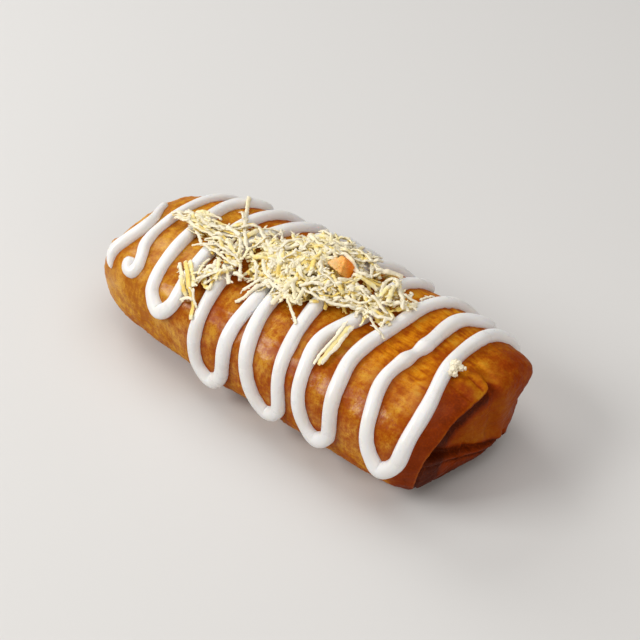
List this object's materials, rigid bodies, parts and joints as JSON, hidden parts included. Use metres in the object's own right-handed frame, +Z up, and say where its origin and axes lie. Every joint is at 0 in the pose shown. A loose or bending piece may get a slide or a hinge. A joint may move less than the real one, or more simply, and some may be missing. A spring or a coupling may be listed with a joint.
{
  "type": "birria chimichanga",
  "caption": "Whole fried flour-tortilla roll with folded ends, a strand of piped cream laid to and fro across it and a loose heap of grated cheese on top.",
  "frame": {"origin": "on the ground under the middle of the part's box", "axes": "+X along the roll towards its open folded end, -Y the near side that the picture shows, +Z up"},
  "size_m": [0.1646, 0.0778, 0.053],
  "materials": {
    "fried_tortilla": "fried flour tortilla, blistered and slightly oily, with satin white cream on it",
    "grated_cheese": "moist matt grated cheese",
    "crisp_flake": "crisp fried flake, satin"
  },
  "bodies": {
    "root": {"roll": "fried_tortilla", "grated_cheese": "grated_cheese", "cheese_tuft": "grated_cheese", "cheese_strip": "grated_cheese", "crisp_flake": "crisp_flake"}
  },
  "joints": []
}
